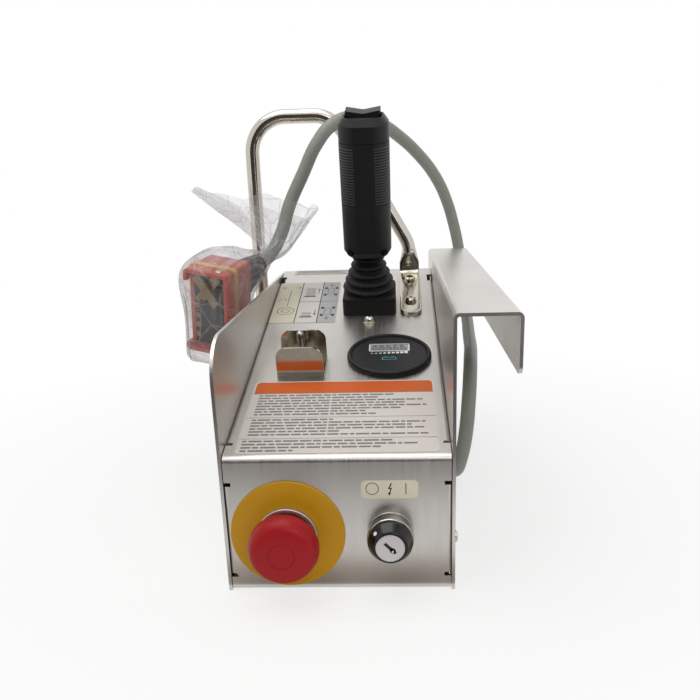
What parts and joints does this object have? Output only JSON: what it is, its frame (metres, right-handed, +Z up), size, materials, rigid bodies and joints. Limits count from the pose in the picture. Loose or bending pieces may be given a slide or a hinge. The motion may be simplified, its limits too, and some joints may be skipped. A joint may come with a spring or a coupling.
{
  "type": "scissor lift control box",
  "caption": "Stainless operator's control box with rail hook, joystick, emergency stop, key switch, toggle, battery gauge, guard handle and cable with plug.",
  "frame": {"origin": "middle of the flat base of the console, on the surface that it stands on", "axes": "+X to the operator's right, +Y from the front panel to the rear cover, +Z up"},
  "size_m": [0.2529, 0.4045, 0.2995],
  "materials": {
    "stainless": "brushed along the sheet, satin",
    "bare_steel": "plain screws and nuts",
    "chrome": "polished",
    "label_white": "printed foil",
    "label_yellow": "printed foil",
    "ring_yellow": "satin moulded plastic",
    "stop_red": "semi gloss moulded plastic",
    "grey_plastic": "moulded plastic",
    "black_plastic": "moulded plastic",
    "black_gloss": "semi gloss moulded plastic",
    "white_plastic": "moulded plastic",
    "window": "clear pane over a dark display",
    "rubber": "matt moulded rubber",
    "cable_jacket": "matt jacket",
    "orange_plastic": "moulded plastic",
    "board_green": "lacquered board",
    "band_yellow": "matt rubber band",
    "clear_film": "thin clear film"
  },
  "bodies": {
    "box": {"console_sheet": "stainless", "left_side_plate": "stainless", "right_hook_plate": "stainless", "rear_cover": "stainless", "bottom_cover": "stainless", "side_screws": "bare_steel", "side_nuts": "bare_steel", "cover_screws": "bare_steel", "warning_label": "label_white", "diagram_label": "label_white", "strip_label": "label_yellow", "key_label": "label_yellow", "stop_ring": "ring_yellow", "stop_collar": "grey_plastic", "ring_nuts": "bare_steel", "contact_blocks": "black_plastic", "key_ring": "chrome", "key_bezel": "black_plastic", "toggle_guard": "stainless", "toggle_bushing": "bare_steel", "toggle_nut": "bare_steel", "toggle_body": "black_plastic", "gauge_case": "black_plastic", "gauge_face": "black_plastic", "gauge_window": "window", "gauge_clamp": "bare_steel", "joystick_base": "black_plastic", "gimbal_pin": "bare_steel", "base_screws": "bare_steel", "joystick_controller": "black_plastic", "guard_handle": "stainless", "handle_screws": "bare_steel", "handle_nuts": "bare_steel", "control_board": "board_green", "board_standoffs": "bare_steel", "inner_cable": "cable_jacket", "cable_gland": "grey_plastic", "gland_boot": "rubber", "cable": "cable_jacket", "connector_hood": "grey_plastic", "connector_housing": "orange_plastic", "connector_insert": "black_plastic", "connector_contacts": "bare_steel", "connector_screws": "bare_steel", "rubber_band": "band_yellow", "clear_bag": "clear_film"},
    "stop_button_body": {"stop_button": "stop_red"},
    "key_core_body": {"key_core": "white_plastic"},
    "toggle_body_moving": {"toggle_lever": "bare_steel"},
    "stick_body": {"joystick_boot": "rubber", "joystick_shaft": "bare_steel", "grip_front": "black_plastic", "grip_rear": "black_plastic", "grip_head": "black_gloss", "rocker_pin": "bare_steel", "trigger_pin": "bare_steel", "grip_screws": "bare_steel"},
    "rocker_body": {"thumb_rocker": "black_gloss"},
    "trigger_body": {"grip_trigger": "black_plastic"}
  },
  "joints": [
    {"name": "stop_push", "type": "slide", "parent": "box", "child": "stop_button_body", "axis": [0, 1, 0], "range_m": [0, 0.004], "stiffness_N_per_m": 1500},
    {"name": "key_turn", "type": "hinge", "parent": "box", "child": "key_core_body", "pos_m": [0.031, -0.145, 0.039], "axis": [0, 1, 0], "range_deg": [0, 90]},
    {"name": "toggle_tilt", "type": "hinge", "parent": "box", "child": "toggle_body_moving", "pos_m": [-0.031, -0.03979, 0.11861], "axis": [0, 0.9697, 0.2441], "range_deg": [-15, 15], "stiffness_Nm_per_rad": 0.2},
    {"name": "stick_tilt", "type": "hinge", "parent": "box", "child": "stick_body", "pos_m": [0.0142, 0.06497, 0.13054], "axis": [1, 0, 0], "range_deg": [-18, 18], "stiffness_Nm_per_rad": 3, "deforming": ["joystick_boot"]},
    {"name": "rocker_tilt", "type": "hinge", "parent": "stick_body", "child": "rocker_body", "pos_m": [0.0142, 0.02692, 0.28168], "axis": [0, 0.9697, 0.2441], "range_deg": [-9, 9], "stiffness_Nm_per_rad": 0.2},
    {"name": "trigger_pull", "type": "hinge", "parent": "stick_body", "child": "trigger_body", "pos_m": [0.0142, 0.04649, 0.25926], "axis": [-1, 0, 0], "range_deg": [0, 6], "stiffness_Nm_per_rad": 0.5}
  ]
}
